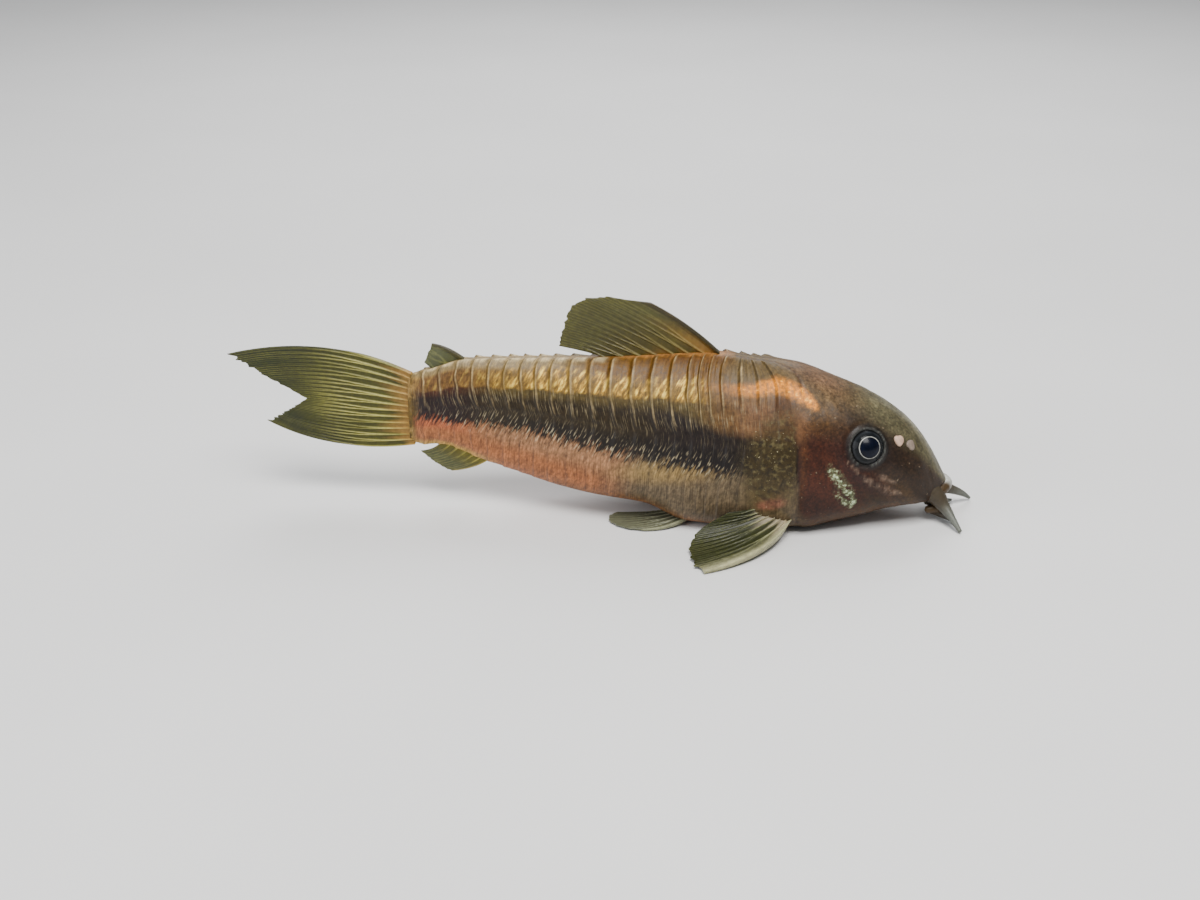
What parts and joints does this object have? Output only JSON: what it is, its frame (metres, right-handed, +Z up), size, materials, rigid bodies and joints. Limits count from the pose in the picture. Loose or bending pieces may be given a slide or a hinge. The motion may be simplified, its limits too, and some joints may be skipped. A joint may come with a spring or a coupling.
{
  "type": "corydoras catfish model",
  "caption": "Life-size still model of a bronze armoured catfish resting on its belly with spread paired fins, raised tail and short barbels.",
  "frame": {"origin": "middle of the fish's footprint on the floor", "axes": "+X towards the snout, +Y to the fish's left, +Z up"},
  "size_m": [0.0718, 0.0286, 0.0211],
  "materials": {
    "skin_head": "moist satin skin, olive brown over maroon",
    "skin_trunk": "moist satin plates, gold over dark olive and salmon",
    "skin_tail": "moist satin plates, brown with a salmon lower row",
    "eye": "wet and glossy",
    "fin": "thin moist membrane over lighter rays",
    "barbel": "soft and moist"
  },
  "bodies": {
    "root": {"head": "skin_head", "trunk": "skin_trunk", "tail": "skin_tail", "eye_right": "eye", "eye_left": "eye", "dorsal_fin": "fin", "adipose_fin": "fin", "anal_fin": "fin", "caudal_fin": "fin", "pectoral_fin_right": "fin", "pectoral_fin_left": "fin", "pelvic_fin_right": "fin", "pelvic_fin_left": "fin", "barbel_upper_right": "barbel", "barbel_upper_left": "barbel", "barbel_lower_right": "barbel", "barbel_lower_left": "barbel"}
  },
  "joints": []
}
